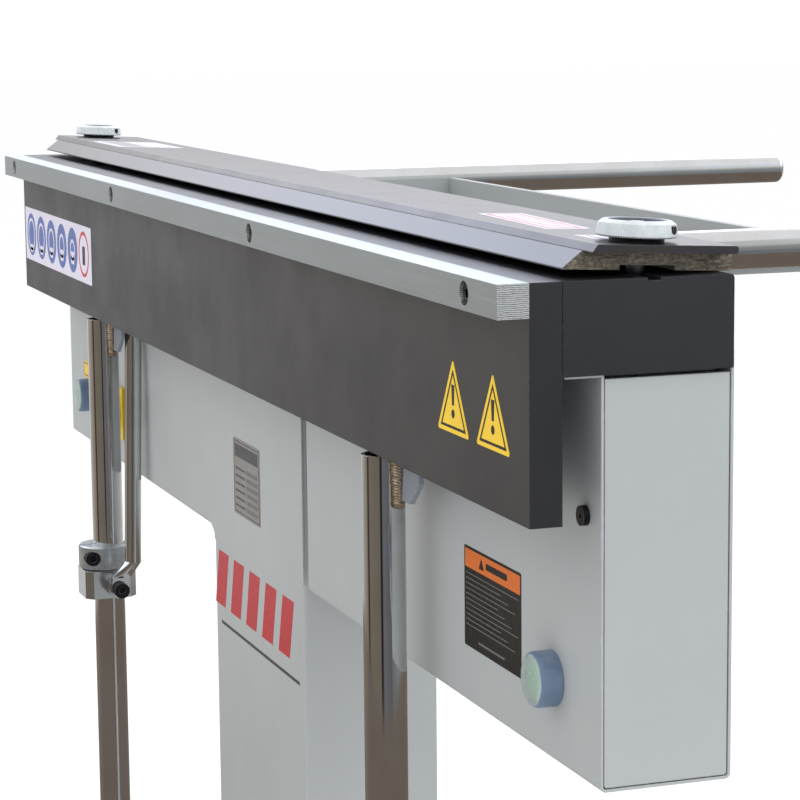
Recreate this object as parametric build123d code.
"""Electromagnetic sheet metal brake on a pedestal stand, about 1250 mm working length.

Every piece is drawn about the bending line: X runs along the bed from its middle, Y points to
the rear from the bending line and Z is up from the bed surface. place() then stands the machine
on the floor, with the origin at the centre of the floor anchor pattern.
"""
from build123d import *
import math
import os

# ---- bed and magnet -------------------------------------------------------------------------
bed_length = 1250.0
bed_height = 930.0
magnet_depth = 93.0
magnet_height = 47.5
magnet_corner = 2.5
groove_width = 7.0
groove_depth = 1.5
pole_width = 33.0
coil_slot_width = 16.0
coil_slot_depth = 34.0
coil_end_margin = 77.0
coil_corner = 24.0
coil_clearance = 0.8
cover_sheet = 2.0

# ---- two-stage hinge buried in the magnet face ----------------------------------------------
hinge_outer_radius = 34.0
hinge_inner_radius = 14.0
hinge_rib_inner = 22.0
hinge_rib_outer = 26.0
hinge_rib_height = 3.0
hinge_first_angle = 272.0
hinge_last_angle = 346.0
hinge_block_width = 16.0
hinge_link_width = 12.0
hinge_end_margin = 19.0
hinge_gap = 0.3
rib_clearance = 0.1
pocket_skin = 3.0

# ---- bending beam and its extension bar -------------------------------------------------------
beam_gap = 0.3
beam_thickness = 17.5
beam_height = 122.0
extension_depth = 17.0
extension_height = 17.5
extension_bolt_margin = 45.0
extension_bolt_count = 4
bolt_shank = 6.0
bolt_head = 10.0
bolt_head_height = 6.0
counterbore = 12.7
counterbore_depth = 7.5
hole_clearance = 0.3
thread_depth = 12.0

# ---- pull handles -----------------------------------------------------------------------------
handle_x = 366.0
handle_y = -5.0
handle_diameter = 26.0
handle_wall = 2.0
handle_drop = 4.0
handle_length = 560.0
plug_height = 10.0
bracket_sheet = 3.0
bracket_top = 60.0
bracket_tongue = 25.0
bracket_left = 32.0
bracket_right = 49.0
bracket_bolt_spacing = 40.0
bracket_bolt_drop = 30.0
weld_gap = 0.02

# ---- angle stop on the left handle ------------------------------------------------------------
collar_wall = 7.8
collar_shift = 4.8
collar_height = 20.0
collar_split = 2.0
collar_fit = 0.1
slider_drop = 353.0
slider_height = 24.0
slider_front = 24.0
slider_rear = 20.0
slider_gap = 0.5
link_offset = 40.0
link_diameter = 14.0
link_eye = 15.0
link_flat = 5.0
link_pivot_y = 14.0
link_pivot_rise = 22.0
link_gap = 0.3
link_neck = 24.0
link_kick = 10.0
link_eye_reach = 10.0
link_bolt_socket = 5.0
link_bolt = 8.0
link_bolt_head = 13.0
link_bolt_head_height = 6.0
running_fit = 0.05
collar_screw_head = 12.0
collar_screw_gap = 1.4
collar_screw_seat = 7.5
collar_screw_head_height = 8.0
collar_screw_length = 16.0
link_thread = 12.0
slider_ear = 18.0
bracket_ear = 13.0

# ---- clamp bar --------------------------------------------------------------------------------
clamp_tilt = 2.8
clamp_rear_y = 95.4
clamp_rest = 0.3
clamp_width = 92.2
clamp_thickness = 9.5
clamp_nose = 0.8
clamp_bevel_run = 10.3
clamp_length = 1232.0
clamp_slot_width = 30.0
clamp_slot_depth = 2.5
cap_thickness = 4.0
cap_overhang = 12.4
cap_front_run = 3.0
cap_rear_inset = 2.5
cap_corner = 1.0

# ---- clamp bar adjusters ----------------------------------------------------------------------
adjuster_margin = 14.0
adjuster_rear_shift = 2.5
adjuster_shaft_diameter = 12.0
adjuster_flange = 28.0
adjuster_flange_height = 2.4
knob_diameter = 42.0
knob_top_diameter = 38.5
knob_height = 8.5
knob_recess = 30.0
knob_recess_depth = 1.5
knob_screw = 4.0
ball_diameter = 10.0
ball_lift = 0.15
ball_travel = 8.6

# ---- sheet metal stand ------------------------------------------------------------------------
sheet = 1.5
bend = 3.0
front_wall_y = 22.0
flange_front_y = 2.0
box_end_inset = 3.5
box_height = 214.5
rear_wall_rise = 8.5
rear_wall_gap = 0.4
column_width = 230.0
column_depth = 97.0
column_inner_corner = 9.0
right_box_gap = 12.5
box_end_gap = 0.4
cover_gap = 0.6
cover_flange = 26.0
cover_screw_inset = 18.6
cover_screw_drop = 121.8
cover_screw_head = 10.5
cover_screw_shank = 4.0
head_plate = 8.0
magnet_bolt = 12.0
magnet_bolt_x = 80.0
magnet_bolt_depth = 18.0
spacer_diameter = 40.0
spacer_bore = 28.0

# ---- base -------------------------------------------------------------------------------------
rail_width = 60.0
rail_height = 60.0
rail_wall = 3.0
rail_length = 620.0
rail_spacing = 360.0
anchor_spacing = 520.0
anchor_hole = 14.0
base_plate_sheet = 10.0
base_plate_depth = 180.0
base_bolt = 12.0
base_bolt_spacing = 120.0
base_bolt_head = 19.0
base_bolt_head_height = 8.0

# ---- rear: rods, tray and back gauge ----------------------------------------------------------
rod_diameter = 25.0
rod_x = 350.0
rod_drop = 16.5
rod_length = 535.0
rod_spigot = 16.0
rod_spigot_length = 12.0
tray_side_gap = 1.5
tray_length = 207.0
tray_top_drop = 14.0
tray_depth = 20.0
tray_lip = 4.0
tray_chamfer = 5.0
tray_screw_head_height = 3.5
tray_screw_socket = 3.0
tray_screw_x = 280.0
tray_screw = 5.0
tray_screw_head = 9.0
saddle_start = 110.0
saddle_length = 30.0
saddle_inner = 10.0
saddle_outer = 22.0
saddle_top = 4.0
saddle_skirt = 9.5
thumb_screw = 6.0
thumb_head = 18.0
thumb_head_length = 10.0
gauge_length = 780.0
gauge_sheet = 3.0
gauge_width = 30.0
gauge_rise = 9.0
gauge_drop = 3.0

# ---- controls ---------------------------------------------------------------------------------
right_button_x = 559.5
left_button_x = -540.0
button_drop = 216.9
boot_diameter = 30.0
boot_length = 13.6
boot_wall = 1.5
button_diameter = 22.0
button_travel = 2.0
button_stem = 12.0
switch_x = -426.0
switch_drop = 216.0
switch_plate = 46.0
switch_plate_sheet = 3.0
switch_knob = 30.0
switch_knob_height = 14.0
gland_diameter = 24.0
gland_bore = 9.0
gland_rise = 90.0
gland_nut = 30.0
gland_nut_height = 8.0
gland_inside = 12.0
gland_dome = 14.0
vent_rows = 6
vent_pitch = 16.0
vent_length = 110.0
vent_width = 5.0
vent_drop = 60.0
module_x = 300.0
module_length = 130.0
module_width = 48.0
module_foot = 6.0
module_height = 40.0
module_fins = 9
module_fin = 6.0
transformer_drop = 140.0
transformer_length = 90.0
transformer_width = 60.0
transformer_height = 76.0
transformer_window = 18.0
transformer_yoke = 15.0
winding_overhang = 5.0
shelf_sheet = 3.0
microswitch_x = -200.0
microswitch_length = 28.0
microswitch_width = 12.0
microswitch_height = 24.5
microswitch_lever = 4.0
microswitch_gap = 1.2

# ---- worked-out places ------------------------------------------------------------------------
half = bed_length / 2
box_half = half - box_end_inset
box_bottom = -magnet_height - box_height
column_mid_y = front_wall_y + column_depth / 2
column_rear_y = front_wall_y + column_depth
column_half = column_width / 2
rear_inner_y = magnet_depth + rear_wall_gap
rear_outer_y = rear_inner_y + sheet
rear_wall_top = -magnet_height + rear_wall_rise
base_top = -bed_height + rail_height + base_plate_sheet
magnet_mid_y = magnet_depth / 2
beam_front = -beam_gap - beam_thickness
hinge_outboard = half - hinge_end_margin
handle_top = -beam_height - handle_drop
slider_top = -slider_drop + slider_height / 2
link_pivot_drop = beam_height - link_pivot_rise
collar_diameter = handle_diameter + 2 * collar_wall
collar_screw_reach = handle_diameter / 2 + bolt_shank / 2 + collar_screw_gap
link_x = -handle_x + link_offset
adjuster_x = clamp_length / 2 - adjuster_margin
adjuster_y = magnet_mid_y + adjuster_rear_shift
adjuster_local_y = adjuster_y - clamp_rear_y
EXTENSION_SCREWS = [
    -half + extension_bolt_margin
    + i * (bed_length - 2 * extension_bolt_margin) / (extension_bolt_count - 1)
    for i in range(extension_bolt_count)
]
SIDES = {"left": -1, "right": 1}


# ---- helpers ----------------------------------------------------------------------------------
def block(x0, x1, y0, y1, z0, z1):
    """A box between two corners."""
    size = (abs(x1 - x0), abs(y1 - y0), abs(z1 - z0))
    return Pos((x0 + x1) / 2, (y0 + y1) / 2, (z0 + z1) / 2) * Box(*size)


def rod_along(axis, diameter, start, length):
    """A cylinder that starts at a point and runs along +X, +Y or +Z."""
    turn = {"x": Rot(0, 90, 0), "y": Rot(-90, 0, 0), "z": Rot(0, 0, 0)}[axis]
    align = (Align.CENTER, Align.CENTER, Align.MIN)
    return Pos(*start) * turn * Cylinder(diameter / 2, length, align=align)


def profile_along_x(points, x0, x1):
    """A solid whose YZ outline is the given points, from x0 to x1."""
    face = make_face(Polyline([(0, y, z) for y, z in points], close=True))
    return Pos(x0, 0, 0) * extrude(face, amount=x1 - x0, dir=(1, 0, 0))


def sector_along_x(inner, outer, first, last, x0, x1):
    """A ring sector about the bending line, angles from +Y towards +Z in degrees."""
    ring = Circle(outer) - Circle(inner)
    reach = 2 * outer
    middle = (first + last) / 2
    wedge = make_face(Polyline([
        (0, 0),
        (reach * math.cos(math.radians(first)), reach * math.sin(math.radians(first))),
        (reach * math.cos(math.radians(middle)), reach * math.sin(math.radians(middle))),
        (reach * math.cos(math.radians(last)), reach * math.sin(math.radians(last))),
    ], close=True))
    flat = ring & wedge
    solid = extrude(flat, amount=x1 - x0)
    return Pos(x0, 0, 0) * Plane.YZ.location * solid


def hex_bolt(across, head_height, shank, length):
    """A bolt under the origin: head above, shank below."""
    head = extrude(RegularPolygon(across / 2, 6, major_radius=False), amount=head_height)
    return head + Pos(0, 0, -length) * Cylinder(
        shank / 2, length, align=(Align.CENTER, Align.CENTER, Align.MIN))


def cap_screw(head, head_height, shank, length, socket):
    """A socket screw under the origin: round head above with a hexagon socket, shank below."""
    body = Cylinder(head / 2, head_height, align=(Align.CENTER, Align.CENTER, Align.MIN))
    body += Pos(0, 0, -length) * Cylinder(
        shank / 2, length, align=(Align.CENTER, Align.CENTER, Align.MIN))
    key = extrude(RegularPolygon(socket / 2, 6, major_radius=False), amount=head_height)
    return body - Pos(0, 0, head_height / 2) * key


def place(shape):
    """Moves a piece from the bending line to its place above the floor."""
    return Pos(0, -column_mid_y, bed_height) * shape


def save(name, *solids):
    """Writes one node's solids as a STEP file."""
    pieces = [solid for shape in solids for solid in place(shape).solids()]
    shape = pieces[0] if len(pieces) == 1 else Compound(children=pieces)
    shape.label = name
    export_step(shape, f"parts/{name}.step")


def tilted(shape):
    """Carries a clamp bar piece from its flat drawing to its resting tilt on the bed."""
    return Pos(0, clamp_rear_y, clamp_rest) * Rot(-clamp_tilt, 0, 0) * shape


# ---- magnet -----------------------------------------------------------------------------------
def racetrack(inset, z0, z1):
    """A rounded block over the coil window, drawn in from the slot's outer wall."""
    long_side = bed_length - 2 * coil_end_margin - 2 * inset
    short_side = pole_width + 2 * coil_slot_width - 2 * inset
    corner = max(coil_corner - inset, 2.0)
    outline = RectangleRounded(long_side, short_side, corner)
    return Pos(0, magnet_mid_y, z0) * extrude(outline, amount=z1 - z0)


def magnet_body():
    body = block(-half, half, 0, magnet_depth, -magnet_height, 0)
    rear_edge = body.edges().filter_by(Axis.X).sort_by(lambda e: e.center().Y + e.center().Z)[-1]
    body = fillet(rear_edge, magnet_corner)
    body -= block(-half, half, adjuster_y - groove_width / 2,
                  adjuster_y + groove_width / 2, -groove_depth, 1)
    slot_roof = -magnet_height + coil_slot_depth
    body -= racetrack(0, -magnet_height - 1, slot_roof) - racetrack(
        coil_slot_width, -magnet_height - 1, slot_roof)
    for side in SIDES.values():
        inboard = hinge_outboard - 2 * hinge_block_width - hinge_link_width - 3 * hinge_gap
        pocket = block(side * inboard, side * hinge_outboard, -1,
                       hinge_outer_radius + 2, -hinge_outer_radius - pocket_skin, -pocket_skin)
        body -= pocket
        body -= rod_along("y", rod_spigot + 2 * running_fit,
                          (side * rod_x, magnet_depth - rod_spigot_length - 0.5, -rod_drop),
                          rod_spigot_length + 2)
        body -= rod_along("z", magnet_bolt + 2 * running_fit,
                          (side * magnet_bolt_x, magnet_mid_y, -magnet_height - 1),
                          magnet_bolt_depth + 2)
        for x in (side * tray_screw_x, side * tray_screw_x / 2):
            body -= rod_along("y", tray_screw + 2 * running_fit,
                              (x, magnet_depth - thread_depth, -tray_top_drop - tray_depth / 2),
                              thread_depth + 1)
    return body


def magnet_coil():
    z0 = -magnet_height + 1.0
    z1 = -magnet_height + coil_slot_depth - coil_clearance
    return racetrack(coil_clearance, z0, z1) - racetrack(coil_slot_width - coil_clearance, z0, z1)


def magnet_cover():
    """The sheet that closes the coil window from below."""
    plate = block(-box_half + 6, box_half - 6, front_wall_y + sheet + 0.5, magnet_depth - 6,
                  -magnet_height - cover_sheet, -magnet_height)
    for x in (-magnet_bolt_x, magnet_bolt_x):
        plate -= rod_along("z", magnet_bolt + 2 * hole_clearance,
                           (x, magnet_mid_y, -magnet_height - cover_sheet - 1), cover_sheet + 2)
    return plate


# ---- hinges -----------------------------------------------------------------------------------
def hinge_pieces(side):
    """The fixed block, the floating link and the beam's sector, from the outboard side in."""
    block_out = hinge_outboard
    block_in = block_out - hinge_block_width
    link_out = block_in - hinge_gap
    link_in = link_out - hinge_link_width
    sector_out = link_in - hinge_gap
    sector_in = sector_out - hinge_block_width
    angles = (hinge_first_angle, hinge_last_angle)
    groove = (hinge_rib_inner - rib_clearance, hinge_rib_outer + rib_clearance)
    groove_reach = hinge_rib_height + hinge_gap

    fixed = block(block_in, block_out, hinge_gap, hinge_outer_radius + 2,
                  -hinge_outer_radius - pocket_skin, -pocket_skin)
    fixed -= sector_along_x(*groove, 255, 365, block_in - 1, block_in + hinge_rib_height)

    link = sector_along_x(hinge_inner_radius, hinge_outer_radius, *angles, link_in, link_out)
    link += sector_along_x(hinge_rib_inner, hinge_rib_outer, *angles,
                           link_in - hinge_rib_height, link_out + hinge_rib_height)

    sector = sector_along_x(hinge_inner_radius, hinge_outer_radius, 265, hinge_last_angle,
                            sector_in, sector_out)
    sector &= block(sector_in, sector_out, -beam_gap, hinge_outer_radius,
                    -hinge_outer_radius, 0)
    sector -= sector_along_x(*groove, 255, 365, sector_out - groove_reach, sector_out + 1)
    pieces = [fixed, link, sector]
    return pieces if side > 0 else [mirror(piece, about=Plane.YZ) for piece in pieces]


# ---- bending beam -----------------------------------------------------------------------------
def bending_beam():
    beam = block(-half, half, beam_front, -beam_gap, -beam_height, 0)
    for x in EXTENSION_SCREWS:
        beam -= rod_along("y", bolt_shank + 2 * running_fit,
                          (x, beam_front - 1, -extension_height / 2), thread_depth + 1)
    for side in SIDES.values():
        for x in bracket_bolt_places(side):
            beam -= rod_along("y", bolt_shank + 2 * running_fit,
                              (x, -beam_gap - thread_depth, -bracket_top - bracket_bolt_drop),
                              thread_depth + 1)
    return beam


def extension_bar():
    front = beam_front - extension_depth
    bar = block(-half, half, front, beam_front, -extension_height, 0)
    for x in EXTENSION_SCREWS:
        centre = (x, front - 1, -extension_height / 2)
        bar -= rod_along("y", bolt_shank + 2 * hole_clearance, centre, extension_depth + 2)
        bar -= rod_along("y", counterbore, centre, counterbore_depth + 1)
    return bar


def extension_screws():
    seat = beam_front - extension_depth + counterbore_depth
    grip = extension_depth - counterbore_depth + thread_depth - 1
    screw = cap_screw(bolt_head, bolt_head_height, bolt_shank, grip, bolt_head / 2)
    return [Pos(x, seat, -extension_height / 2) * Rot(90, 0, 0) * screw
            for x in EXTENSION_SCREWS]


def bracket_bolt_places(side):
    centre = side * handle_x
    return (centre - bracket_bolt_spacing / 2, centre + bracket_bolt_spacing / 2)


def handle_tube(side):
    start = (side * handle_x, handle_y, handle_top - handle_length)
    tube = rod_along("z", handle_diameter, start, handle_length)
    return tube - rod_along("z", handle_diameter - 2 * handle_wall, start, handle_length)


def handle_plug(side):
    """The rounded plug in the lower end of a handle tube."""
    bottom = handle_top - handle_length
    start = (side * handle_x, handle_y, bottom)
    stem = rod_along("z", handle_diameter - 2 * handle_wall - 2 * running_fit, start, plug_height)
    head = Pos(side * handle_x, handle_y, bottom - 5) * Cylinder(
        handle_diameter / 2, 5, align=(Align.CENTER, Align.CENTER, Align.MIN))
    return stem + fillet(head.edges().sort_by(Axis.Z)[0], 3)


def handle_bracket(side):
    """A plate on the beam's rear face whose tongue is welded along the tube."""
    centre = side * handle_x
    upper = -bracket_top
    lower = handle_top - bracket_tongue
    step = handle_top + handle_drop / 2
    outline = make_face(Polyline([
        (centre - bracket_left, upper), (centre + bracket_right - 12, upper),
        (centre + bracket_right, upper - 20), (centre + bracket_right, lower + 14),
        (centre + bracket_right - 16, lower), (centre, lower), (centre, step),
        (centre - bracket_left, step),
    ], close=True))
    plate = Pos(0, -beam_gap, 0) * Plane.XZ.location * extrude(outline, amount=-bracket_sheet)
    plate -= rod_along("z", handle_diameter + 2 * weld_gap,
                       (centre, handle_y, handle_top - handle_length), handle_length)
    for x in bracket_bolt_places(side):
        plate -= rod_along("y", bolt_shank + 2 * hole_clearance,
                           (x, -beam_gap - 1, -bracket_top - bracket_bolt_drop),
                           bracket_sheet + 2)
    return max(plate.solids(), key=lambda solid: solid.volume)


def bracket_bolts():
    bolt = hex_bolt(bolt_head, 4.0, bolt_shank, bracket_sheet + thread_depth - 1)
    return [Pos(x, -beam_gap + bracket_sheet, -bracket_top - bracket_bolt_drop)
            * Rot(-90, 0, 0) * bolt
            for side in SIDES.values() for x in bracket_bolt_places(side)]


# ---- angle stop -------------------------------------------------------------------------------
def stop_collar():
    bottom = slider_top + slider_gap
    centre = (-handle_x, handle_y - collar_shift, bottom)
    collar = rod_along("z", collar_diameter, centre, collar_height)
    collar = chamfer(collar.edges().filter_by(GeomType.CIRCLE), 1.0)
    collar -= rod_along("z", handle_diameter + 2 * collar_fit,
                        (-handle_x, handle_y, bottom - 1), collar_height + 2)
    collar -= block(-handle_x - collar_split / 2, -handle_x + collar_split / 2,
                    handle_y - collar_shift - collar_diameter, handle_y,
                    bottom - 1, bottom + collar_height + 1)
    head_start, screw_y, screw_z = collar_screw_place()
    collar -= rod_along("x", bolt_shank + 2 * running_fit,
                        (-handle_x - 10, screw_y, screw_z), 30)
    collar -= rod_along("x", collar_screw_head + 2 * hole_clearance,
                        (head_start, screw_y, screw_z), 30)
    return collar


def collar_screw_place():
    """Where the clamping screw's head seats: x of the seat, then the axis's y and z."""
    return (-handle_x + collar_screw_seat, handle_y - collar_screw_reach,
            slider_top + slider_gap + collar_height / 2)


def collar_screw():
    head_start, screw_y, screw_z = collar_screw_place()
    screw = cap_screw(collar_screw_head, collar_screw_head_height, bolt_shank,
                      collar_screw_length, bolt_shank)
    return Pos(head_start, screw_y, screw_z) * Rot(0, 90, 0) * screw


def slider_block():
    bottom = -slider_drop - slider_height / 2
    body = block(-handle_x - slider_rear, -handle_x + slider_rear, handle_y - slider_front,
                 handle_y + slider_rear, bottom, slider_top)
    body = chamfer(body.edges().filter_by(Axis.Z), 6.0)
    ear_end = link_x - link_flat / 2 - link_gap
    body += rod_along("x", slider_ear, (-handle_x, handle_y, -slider_drop),
                      ear_end + handle_x)
    body -= rod_along("z", handle_diameter + 2 * collar_fit,
                      (-handle_x, handle_y, bottom - 1), slider_height + 2)
    body -= rod_along("x", link_bolt + 2 * running_fit,
                      (ear_end - link_thread - 2, handle_y, -slider_drop), 2 * link_thread)
    return body


def link_bolt_piece(grip):
    """A round-headed pivot bolt: its head is above the origin and its shank below."""
    return cap_screw(link_bolt_head, link_bolt_head_height, link_bolt, grip, link_bolt_socket)


def slider_bolt():
    seat = link_x + link_flat / 2 + link_gap
    return Pos(seat, handle_y, -slider_drop) * Rot(0, 90, 0) * link_bolt_piece(
        link_flat + 2 * link_gap + link_thread)


def link_rod():
    """The round bar between the slider and the stand, cranked at its lower eye."""
    dy = link_pivot_y - handle_y
    dz = slider_drop - link_pivot_drop
    length = math.hypot(dy, dz)
    flat = Rectangle(link_flat, link_eye)
    round_end = Circle(link_diameter / 2)
    lower_end = Pos(0, link_kick, link_neck) * round_end
    bar = loft([lower_end, Pos(0, 0, length - link_neck) * round_end])
    bar += loft([Pos(0, 0, link_eye_reach) * flat, lower_end])
    bar += loft([Pos(0, 0, length - link_neck) * round_end,
                 Pos(0, 0, length - link_eye_reach) * flat])
    for z, towards in ((0, 1), (length, -1)):
        bar += rod_along("x", link_eye, (-link_flat / 2, 0, z), link_flat)
        bar += block(-link_flat / 2, link_flat / 2, -link_eye / 2, link_eye / 2,
                     z, z + towards * link_eye_reach)
        bar -= rod_along("x", link_bolt + 2 * running_fit, (-link_flat, 0, z), 2 * link_flat)
    lean = math.degrees(math.atan2(dy, dz))
    return Pos(link_x, handle_y, -slider_drop) * Rot(-lean, 0, 0) * bar


def link_top_bolt():
    """Its shank ends at the bracket's face, so the loop stays open there."""
    seat = link_x + link_flat / 2
    return Pos(seat, link_pivot_y, -link_pivot_drop) * Rot(0, 90, 0) * link_bolt_piece(
        link_flat / 2 + link_diameter / 2)


def link_bracket():
    face = link_x - link_diameter / 2 - link_gap
    ear = block(face - 4, face, link_pivot_y - 8, front_wall_y,
                -link_pivot_drop - bracket_ear, -link_pivot_drop + bracket_ear)
    foot = block(face - 30, face, front_wall_y - 3, front_wall_y,
                 -link_pivot_drop - bracket_ear, -link_pivot_drop + bracket_ear)
    return ear + foot


# ---- clamp bar --------------------------------------------------------------------------------
def clamp_bar():
    front = -clamp_width
    outline = [(0, 0), (0, clamp_thickness), (front + clamp_bevel_run, clamp_thickness),
               (front, clamp_nose), (front, 0)]
    bar = profile_along_x(outline, -clamp_length / 2, clamp_length / 2)
    slot = adjuster_local_y
    bar -= block(-clamp_length, clamp_length, slot - clamp_slot_width / 2,
                 slot + clamp_slot_width / 2, -1, clamp_slot_depth)
    for side in SIDES.values():
        bar -= rod_along("z", adjuster_shaft_diameter + 2 * running_fit,
                         (side * adjuster_x, adjuster_local_y, -1), clamp_thickness + 2)
    return tilted(bar)


def clamp_cap():
    """The cover plate on the bar, its front edge leaning back above the bevel."""
    front = -clamp_width + clamp_bevel_run
    top = clamp_thickness + cap_thickness
    rear = -cap_rear_inset
    outline = [(rear - cap_corner, clamp_thickness), (rear, clamp_thickness + cap_corner),
               (rear, top - cap_corner), (rear - cap_corner, top),
               (front + cap_front_run, top), (front, clamp_thickness)]
    reach = clamp_length / 2 + cap_overhang
    plate = profile_along_x(outline, -reach, reach)
    for side in SIDES.values():
        plate -= rod_along("z", adjuster_shaft_diameter + 2 * running_fit,
                           (side * adjuster_x, adjuster_local_y, clamp_thickness - 1),
                           cap_thickness + 2)
    return tilted(plate)


def adjuster_shaft(side):
    top = clamp_thickness + cap_thickness
    shaft = rod_along("z", adjuster_shaft_diameter, (0, 0, ball_travel), top - ball_travel + 1)
    shaft += rod_along("z", adjuster_flange, (0, 0, top + running_fit), adjuster_flange_height)
    return tilted(Pos(side * adjuster_x, adjuster_local_y, 0) * shaft)


def adjuster_knob(side):
    bottom = clamp_thickness + cap_thickness + running_fit + adjuster_flange_height
    knob = Pos(0, 0, bottom) * Cone(knob_diameter / 2, knob_top_diameter / 2, knob_height,
                                    align=(Align.CENTER, Align.CENTER, Align.MIN))
    knob -= rod_along("z", knob_recess, (0, 0, bottom + knob_height - knob_recess_depth), 5)
    knob -= rod_along("x", knob_screw, (knob_recess / 4, 0, bottom + knob_height * 0.45),
                      knob_diameter)
    turn = Rot(0, 0, 25)
    return tilted(Pos(side * adjuster_x, adjuster_local_y, 0) * turn * knob)


def locating_balls():
    """The balls that hold the bar over the bed, sitting on the edges of the bed's groove."""
    radius = ball_diameter / 2
    depth = radius - math.sqrt(radius ** 2 - (groove_width / 2) ** 2)
    z = radius - depth + ball_lift
    return [Pos(side * adjuster_x, adjuster_y, z) * Sphere(radius)
            for side in SIDES.values()]


# ---- sheet metal stand ------------------------------------------------------------------------
def folded_box(x0, x1):
    """One folded sheet: flange under the magnet, front wall, floor and rear wall."""
    outer = block(x0, x1, front_wall_y, rear_outer_y, box_bottom, rear_wall_top)
    outer = fillet(outer.edges().filter_by(Axis.X).group_by(Axis.Z)[0], bend)
    inner = block(x0 - 1, x1 + 1, front_wall_y + sheet, rear_inner_y,
                  box_bottom + sheet, rear_wall_top + 1)
    inner = fillet(inner.edges().filter_by(Axis.X).group_by(Axis.Z)[0], bend - sheet)
    shell = outer - inner
    above_flange = block(x0 - 1, x1 + 1, front_wall_y - 1, front_wall_y + 2 * sheet,
                         -magnet_height, 0)
    shell -= above_flange
    shell += block(x0, x1, flange_front_y, front_wall_y + sheet,
                   -magnet_height - sheet, -magnet_height)
    return shell


def stand_body():
    """The left box and the column, one welded sheet fabrication with a T-shaped front."""
    body = folded_box(-box_half, column_half)
    top = -magnet_height - cover_sheet
    column = block(-column_half, column_half, front_wall_y, column_rear_y, base_top, top)
    column = fillet(column.edges().filter_by(Axis.Z).group_by(Axis.Y)[0], bend)
    column_room = block(-column_half + sheet, column_half - sheet, front_wall_y + sheet,
                        column_rear_y + 1, base_top - 1, top + 1)
    inside_left = block(-box_half - 1, -column_half + 2 * sheet + bend, front_wall_y + sheet,
                        rear_inner_y, box_bottom + sheet, top + 1)
    corner_patch = block(-column_half - column_inner_corner, -column_half + bend, front_wall_y,
                         front_wall_y + sheet, box_bottom - column_inner_corner,
                         box_bottom + bend)
    corner_patch -= rod_along("y", 2 * column_inner_corner,
                              (-column_half - column_inner_corner, front_wall_y - 1,
                               box_bottom - column_inner_corner), 2 * sheet)
    front_strip = block(-column_half, -column_half + bend, front_wall_y, front_wall_y + sheet,
                        box_bottom, top)
    body = body + column + corner_patch + front_strip
    body -= column_room
    body += block(-column_half, column_half, rear_inner_y, column_rear_y, top - sheet, top)
    body -= inside_left
    body -= block(-box_half - 1, column_half + 1, rear_inner_y - 0.01 - rear_wall_gap,
                  rear_inner_y, rear_wall_top, 1)
    body -= switch_hole()
    body -= button_hole(left_button_x)
    for y in spacer_places():
        body -= rod_along("x", spacer_bore, (column_half - 5, y[0], y[1]), 10)
    body -= screw_hole(-1)
    return body


def right_box():
    """The control box beside the column, closed at its inner end."""
    inner_end = column_half + right_box_gap
    shell = folded_box(inner_end, box_half)
    shell += block(inner_end, inner_end + sheet, front_wall_y + bend, rear_inner_y,
                   box_bottom + sheet, -magnet_height - cover_sheet)
    for y in spacer_places():
        shell -= rod_along("x", spacer_bore, (inner_end - 5, y[0], y[1]), 10)
    shell -= button_hole(right_button_x)
    shell -= screw_hole(1)
    return shell


def spacer_places():
    """Where the two wiring spacers cross the gap between column and control box: y and z."""
    return [(magnet_mid_y + 10, box_bottom + box_height * share) for share in (0.3, 0.7)]


def box_spacers():
    spacers = []
    for y, z in spacer_places():
        tube = rod_along("x", spacer_diameter, (column_half, y, z), right_box_gap)
        spacers.append(tube - rod_along("x", spacer_bore, (column_half - 1, y, z),
                                        right_box_gap + 2))
    return spacers


def end_cover(side):
    """The flanged plate let into the open end of a box."""
    outer = box_half - box_end_gap
    y0, y1 = front_wall_y + sheet + cover_gap, rear_inner_y - cover_gap
    z0, z1 = box_bottom + sheet + cover_gap, -magnet_height - cover_sheet - cover_gap
    cover = block(outer - cover_flange, outer, y0, y1, z0, z1)
    cover = fillet(cover.edges().filter_by(Axis.X).group_by(Axis.Z)[0], bend - sheet)
    cover -= block(outer - cover_flange - 1, outer - sheet, y0 + sheet, y1 - sheet,
                   z0 + sheet, z1 - sheet)
    cover -= rod_along("y", cover_screw_shank + 2 * running_fit,
                       (box_half - cover_screw_inset, y0 - 1, -cover_screw_drop), 4)
    return cover if side > 0 else mirror(cover, about=Plane.YZ)


def screw_hole(side):
    return rod_along("y", cover_screw_shank + 2 * hole_clearance,
                     (side * (box_half - cover_screw_inset), front_wall_y - 1,
                      -cover_screw_drop), sheet + 2)


def cover_screws():
    screw = cap_screw(cover_screw_head, 3.5, cover_screw_shank, 8.0, 3.0)
    return [Pos(side * (box_half - cover_screw_inset), front_wall_y, -cover_screw_drop)
            * Rot(90, 0, 0) * screw for side in SIDES.values()]


def column_head():
    """The thick plate welded into the column's top, which carries the magnet."""
    z1 = -magnet_height - cover_sheet
    plate = block(-column_half + sheet, column_half - sheet, front_wall_y + sheet,
                  column_rear_y - 2 * sheet, z1 - head_plate, z1)
    plate -= block(-column_half, column_half, rear_inner_y - 0.5, rear_outer_y + 0.5,
                   z1 - head_plate - 1, z1 + 1)
    plate = max(plate.solids(), key=lambda solid: solid.volume)
    for x in (-magnet_bolt_x, magnet_bolt_x):
        plate -= rod_along("z", magnet_bolt + 2 * hole_clearance,
                           (x, magnet_mid_y, z1 - head_plate - 1), head_plate + 2)
    return plate


def magnet_bolts():
    grip = head_plate + cover_sheet + magnet_bolt_depth - 1
    seat = -magnet_height - cover_sheet - head_plate
    bolt = hex_bolt(base_bolt_head, base_bolt_head_height, magnet_bolt, grip)
    return [Pos(x, magnet_mid_y, seat) * Rot(180, 0, 0) * bolt
            for x in (-magnet_bolt_x, magnet_bolt_x)]


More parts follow.
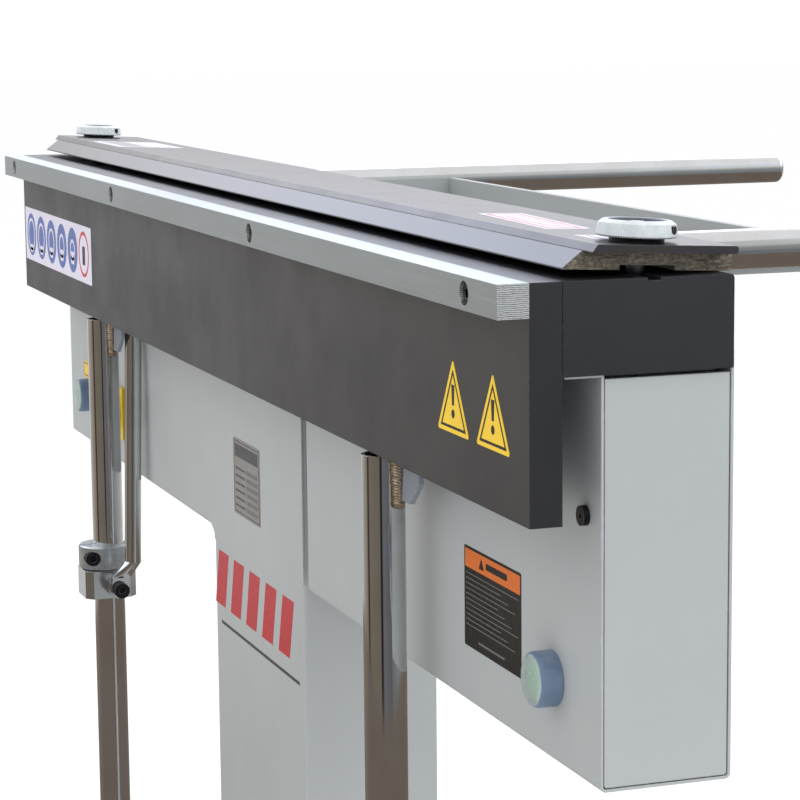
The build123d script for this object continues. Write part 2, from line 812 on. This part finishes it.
def back_cover():
    """The slotted plate that closes the rear of the column below the boxes."""
    z1 = -magnet_height - cover_sheet - sheet - cover_gap
    z0 = base_top + gland_inside
    cover = block(-column_half + sheet + cover_gap, column_half - sheet - cover_gap,
                  column_rear_y - sheet, column_rear_y, z0, z1)
    slot = Plane.XZ.location * extrude(SlotOverall(vent_length, vent_width), amount=-4 * sheet)
    for row in range(vent_rows):
        z = box_bottom - vent_drop - row * vent_pitch
        cover -= Pos(0, column_rear_y - 2 * sheet, z) * slot
    cover -= rod_along("y", gland_diameter, (0, column_rear_y - 2 * sheet, base_top + gland_rise),
                       4 * sheet)
    return cover


def cable_gland():
    """The empty supply cable gland low on the back cover."""
    z = base_top + gland_rise
    start = column_rear_y - gland_inside
    nut_end = column_rear_y + gland_nut_height
    body = rod_along("y", gland_diameter - 2 * running_fit, (0, start, z), gland_inside + 2)
    nut = Pos(0, column_rear_y, z) * Rot(-90, 0, 0) * extrude(
        RegularPolygon(gland_nut / 2, 6, major_radius=False), amount=gland_nut_height)
    dome = rod_along("y", gland_diameter - 2, (0, nut_end, z), gland_dome)
    dome = fillet(dome.edges().sort_by(Axis.Y)[-1], 4)
    return body + nut + dome - rod_along("y", gland_bore, (0, start - 1, z),
                                         nut_end + gland_dome - start + 2)


# ---- base -------------------------------------------------------------------------------------
def foot_rail(side):
    x = side * rail_spacing / 2
    y0 = column_mid_y - rail_length / 2
    z0 = -bed_height
    rail = block(x - rail_width / 2, x + rail_width / 2, y0, y0 + rail_length,
                 z0, z0 + rail_height)
    rail = fillet(rail.edges().filter_by(Axis.Y), 2 * rail_wall)
    room = block(x - rail_width / 2 + rail_wall, x + rail_width / 2 - rail_wall,
                 y0 + rail_wall, y0 + rail_length - rail_wall,
                 z0 + rail_wall, z0 + rail_height - rail_wall)
    rail -= fillet(room.edges().filter_by(Axis.Y), rail_wall)
    for y in (-anchor_spacing / 2, anchor_spacing / 2):
        rail -= rod_along("z", anchor_hole, (x, column_mid_y + y, z0 - 1), rail_height + 2)
    for y in (-base_bolt_spacing / 2, base_bolt_spacing / 2):
        rail -= rod_along("z", base_bolt + 2 * running_fit,
                          (x, column_mid_y + y, z0 + rail_height / 2), rail_height)
    return rail


def base_plate():
    z0 = -bed_height + rail_height
    reach = rail_spacing / 2 + rail_width / 2
    plate = block(-reach, reach, column_mid_y - base_plate_depth / 2,
                  column_mid_y + base_plate_depth / 2, z0, z0 + base_plate_sheet)
    plate = fillet(plate.edges().filter_by(Axis.Z), 10)
    for x, y in base_bolt_places():
        plate -= rod_along("z", base_bolt + 2 * hole_clearance, (x, y, z0 - 1),
                           base_plate_sheet + 2)
    return plate


def base_bolt_places():
    return [(side * rail_spacing / 2, column_mid_y + y) for side in SIDES.values()
            for y in (-base_bolt_spacing / 2, base_bolt_spacing / 2)]


def base_bolts():
    bolt = hex_bolt(base_bolt_head, base_bolt_head_height, base_bolt, base_plate_sheet + 14)
    return [Pos(x, y, base_top) * bolt for x, y in base_bolt_places()]


# ---- rear -------------------------------------------------------------------------------------
def backstop_rod(side):
    start = magnet_depth
    rod = rod_along("y", rod_diameter, (side * rod_x, start, -rod_drop), rod_length)
    rod = fillet(rod.edges().sort_by(Axis.Y)[-1], 5)
    return rod + rod_along("y", rod_spigot, (side * rod_x, start - rod_spigot_length, -rod_drop),
                           rod_spigot_length + 1)


def rear_tray():
    """A shallow open tray between the rods: floor, front strip, bent rear strip and two ends,
    tack welded at their corners."""
    reach = rod_x - rod_diameter / 2 - tray_side_gap
    y0, y1 = magnet_depth, magnet_depth + tray_length
    z1 = -tray_top_drop
    z0 = z1 - tray_depth
    x1 = reach - sheet - weld_gap
    floor = block(-x1, x1, y0 + sheet + weld_gap, y1 - tray_chamfer, z0, z0 + sheet)
    front = block(-x1, x1, y0, y0 + sheet, z0, z1)
    for x in tray_screw_places():
        front -= rod_along("y", tray_screw + 2 * hole_clearance,
                           (x, y0 - 1, z1 - tray_depth / 2), sheet + 2)
    rear = profile_along_x([
        (y1 - tray_chamfer + weld_gap, z0), (y1 - tray_chamfer + weld_gap, z0 + sheet),
        (y1 - sheet, z0 + tray_chamfer + sheet / 2), (y1 - sheet, z1), (y1 + tray_lip, z1),
        (y1 + tray_lip, z1 - sheet), (y1, z1 - sheet), (y1, z0 + tray_chamfer),
    ], -x1, x1)
    end = profile_along_x([(y0, z0), (y0, z1), (y1, z1), (y1, z0 + tray_chamfer),
                           (y1 - tray_chamfer, z0)], reach - sheet, reach)
    return floor, front, rear, end, mirror(end, about=Plane.YZ)


def tray_screw_places():
    return [share * tray_screw_x for share in (-1, -0.5, 0.5, 1)]


def tray_screws():
    screw = cap_screw(tray_screw_head, tray_screw_head_height, tray_screw, thread_depth,
                      tray_screw_socket)
    z = -tray_top_drop - tray_depth / 2
    return [Pos(x, magnet_depth + sheet, z) * Rot(-90, 0, 0) * screw
            for x in tray_screw_places()]


def backstop_saddle(side):
    """A block that hangs over a rod from its outer side, clear of the tray."""
    axis_z = -rod_drop
    top = axis_z + rod_diameter / 2 + saddle_top
    y0, y1 = saddle_start, saddle_start + saddle_length
    x0, x1 = rod_x - saddle_inner, rod_x + saddle_outer
    saddle = block(x0, x1, y0, y1, axis_z - saddle_skirt, top)
    saddle = chamfer(saddle.edges().filter_by(Axis.Y).group_by(Axis.X)[-1], 2)
    saddle -= rod_along("y", rod_diameter + 2 * collar_fit, (rod_x, y0 - 1, axis_z),
                        saddle_length + 2)
    saddle -= block(x0 - 1, rod_x, y0 - 1, y1 + 1, axis_z - saddle_skirt - 1, axis_z)
    saddle -= rod_along("x", thumb_screw + 2 * running_fit,
                        (rod_x, (y0 + y1) / 2, axis_z), saddle_outer + 1)
    saddle = max(saddle.solids(), key=lambda solid: solid.volume)
    return saddle if side > 0 else mirror(saddle, about=Plane.YZ)


def thumb_screw_piece(side):
    """The clamping screw in a saddle's outer side."""
    axis = ((saddle_start + saddle_start + saddle_length) / 2, -rod_drop)
    tip = rod_x + rod_diameter / 2 + collar_fit
    shank = rod_along("x", thumb_screw, (tip, *axis), saddle_outer - rod_diameter / 2 + 6)
    head = rod_along("x", thumb_head, (rod_x + saddle_outer + 3, *axis), thumb_head_length)
    head = chamfer(head.edges().filter_by(GeomType.CIRCLE), 1.0)
    screw = shank + head
    return screw if side > 0 else mirror(screw, about=Plane.YZ)


def backstop_bar():
    """The angle across both saddles that the sheet's rear edge meets."""
    seat = -rod_drop + rod_diameter / 2 + saddle_top
    y0 = saddle_start
    reach = gauge_length / 2
    upright = block(-reach, reach, y0 - gauge_sheet, y0, seat - gauge_drop, gauge_rise)
    shelf = block(-reach, reach, y0 - gauge_sheet, y0 - gauge_sheet + gauge_width,
                  seat, seat + gauge_sheet)
    bar = upright + shelf
    for x in (-rod_x, rod_x):
        bar -= rod_along("z", tray_screw + 2 * hole_clearance,
                         (x, saddle_start + saddle_length / 2, seat - 1), gauge_sheet + 2)
    return bar


def backstop_bar_screws():
    seat = -rod_drop + rod_diameter / 2 + saddle_top + gauge_sheet
    screw = cap_screw(tray_screw_head, tray_screw_head_height, tray_screw,
                      gauge_sheet - running_fit, tray_screw_socket)
    return [Pos(x, saddle_start + saddle_length / 2, seat) * screw for x in (-rod_x, rod_x)]


# ---- controls and electrics -------------------------------------------------------------------
def button_hole(x):
    return rod_along("y", button_stem + 4, (x, front_wall_y - 1, -button_drop), sheet + 2)


def button_boot(x):
    """The clear rubber cup over a start button."""
    z = -button_drop
    cup = rod_along("y", boot_diameter, (x, front_wall_y - boot_length, z), boot_length)
    cup = fillet(cup.edges().sort_by(Axis.Y)[0], 4)
    return cup - rod_along("y", boot_diameter - 2 * boot_wall,
                           (x, front_wall_y - boot_length + boot_wall, z), boot_length)


def start_button(x):
    """The push button inside its cup, with its stem through the box wall."""
    z = -button_drop
    face = front_wall_y - boot_length + boot_wall + button_travel + 0.4
    head = rod_along("y", button_diameter, (x, face, z), 7)
    head = fillet(head.edges().sort_by(Axis.Y)[0], 1.5)
    return head + rod_along("y", button_stem, (x, face + 6, z), front_wall_y - face + 4)


def switch_hole():
    return rod_along("y", button_stem + 4, (switch_x, front_wall_y - 1, -switch_drop), sheet + 2)


def main_switch_plate():
    z = -switch_drop
    plate = block(switch_x - switch_plate / 2, switch_x + switch_plate / 2,
                  front_wall_y - switch_plate_sheet, front_wall_y,
                  z - switch_plate / 2, z + switch_plate / 2)
    plate = fillet(plate.edges().filter_by(Axis.Y), 4)
    return plate - rod_along("y", button_stem + 2 * hole_clearance,
                             (switch_x, front_wall_y - 10, z), 20)


def main_switch_knob():
    z = -switch_drop
    face = front_wall_y - switch_plate_sheet - hinge_gap
    knob = rod_along("y", switch_knob, (switch_x, face - 4, z), 4)
    grip = block(switch_x - 4, switch_x + 4, face - switch_knob_height, face,
                 z - switch_knob / 2 + 1.5, z + switch_knob / 2 - 1.5)
    grip = fillet(grip.edges().filter_by(Axis.Y), 3)
    return knob + grip + rod_along("y", button_stem, (switch_x, face - 1, z), 12)


def rectifier_module():
    """The finned rectifier and release module on the control box floor."""
    z0 = box_bottom + 4 * sheet
    y0, y1 = magnet_mid_y + 10 - module_width / 2, magnet_mid_y + 10 + module_width / 2
    module = block(module_x, module_x + module_length, y0, y1, z0, z0 + module_foot)
    pitch = (module_length - module_fin) / (module_fins - 1)
    for i in range(module_fins):
        x = module_x + i * pitch
        module += block(x, x + module_fin, y0, y1, z0 + module_foot, z0 + module_height)
    return module


def transformer():
    """The laminated supply transformer on its shelf: shelf, core and winding."""
    z0 = box_bottom - transformer_drop
    y0 = front_wall_y + 10
    y1 = y0 + transformer_width
    reach = transformer_length / 2
    core = block(-reach, reach, y0, y1, z0, z0 + transformer_height)
    inner = reach - transformer_yoke
    low, high = z0 + transformer_yoke, z0 + transformer_height - transformer_yoke
    for x0, x1 in ((-inner, -inner + transformer_window), (inner - transformer_window, inner)):
        core -= block(x0, x1, y0 - 1, y1 + 1, low, high)
    winding = block(-inner, inner, y0 - winding_overhang, y1 + winding_overhang, low + 1, high - 1)
    winding -= block(-inner - 1, inner + 1, y0 - running_fit, y1 + running_fit,
                     low - 1, high + 1)
    shelf = block(-column_half + sheet, column_half - sheet, front_wall_y + sheet,
                  column_rear_y - gland_inside, z0 - shelf_sheet, z0)
    return shelf, core, *winding.solids()


def beam_microswitch():
    """The switch that starts full clamping, under the magnet behind the beam."""
    top = -magnet_height - sheet
    rear = front_wall_y - 4
    body = block(microswitch_x - microswitch_length / 2, microswitch_x + microswitch_length / 2,
                 rear - microswitch_width, rear, top - microswitch_height, top)
    z = top - microswitch_height + microswitch_lever
    lever = block(microswitch_x - microswitch_lever / 2, microswitch_x + microswitch_lever / 2,
                  microswitch_gap, rear - microswitch_width, z, z + microswitch_lever)
    return body + lever


# ---- all the nodes ----------------------------------------------------------------------------
def main():
    os.makedirs("parts", exist_ok=True)
    save("magnet_body", magnet_body())
    save("magnet_coil", magnet_coil())
    save("magnet_cover", magnet_cover())
    save("bending_beam", bending_beam())
    save("extension_bar", extension_bar())
    save("extension_screws", *extension_screws())
    save("handle_bracket_bolts", *bracket_bolts())
    save("clamp_bar", clamp_bar())
    save("clamp_cap", clamp_cap())
    save("locating_balls", *locating_balls())
    for name, side in SIDES.items():
        fixed, floating, sector = hinge_pieces(side)
        save(f"hinge_block_{name}", fixed)
        save(f"hinge_link_{name}", floating)
        save(f"hinge_sector_{name}", sector)
        save(f"handle_tube_{name}", handle_tube(side))
        save(f"handle_bracket_{name}", handle_bracket(side))
        save(f"adjuster_shaft_{name}", adjuster_shaft(side))
        save(f"adjuster_knob_{name}", adjuster_knob(side))
        save(f"end_cover_{name}", end_cover(side))
    save("handle_plugs", handle_plug(-1), handle_plug(1))
    save("stop_collar", stop_collar())
    save("stop_collar_screw", collar_screw())
    save("slider_block", slider_block())
    save("slider_bolt", slider_bolt())
    save("link_rod", link_rod())
    save("link_top_bolt", link_top_bolt())
    save("link_bracket", link_bracket())
    save("stand_body", stand_body())
    save("right_box", right_box())
    save("box_spacers", *box_spacers())
    save("cover_screws", *cover_screws())
    save("column_head", column_head())
    save("back_cover", back_cover())
    save("cable_gland", cable_gland())
    save("base_plate", base_plate())
    save("foot_rails", foot_rail(-1), foot_rail(1))
    save("frame_bolts", *magnet_bolts(), *base_bolts())
    save("backstop_rods", backstop_rod(-1), backstop_rod(1))
    save("rear_tray", *rear_tray())
    save("tray_screws", *tray_screws())
    save("backstop_saddles", backstop_saddle(-1), backstop_saddle(1))
    save("backstop_thumb_screws", thumb_screw_piece(-1), thumb_screw_piece(1))
    save("backstop_bar", backstop_bar())
    save("backstop_bar_screws", *backstop_bar_screws())
    for name, x in (("left", left_button_x), ("right", right_button_x)):
        save(f"start_boot_{name}", button_boot(x))
        save(f"start_button_{name}", start_button(x))
    save("main_switch_plate", main_switch_plate())
    save("main_switch_knob", main_switch_knob())
    save("rectifier_module", rectifier_module())
    save("transformer", *transformer())
    save("beam_microswitch", beam_microswitch())


if __name__ == "__main__":
    main()
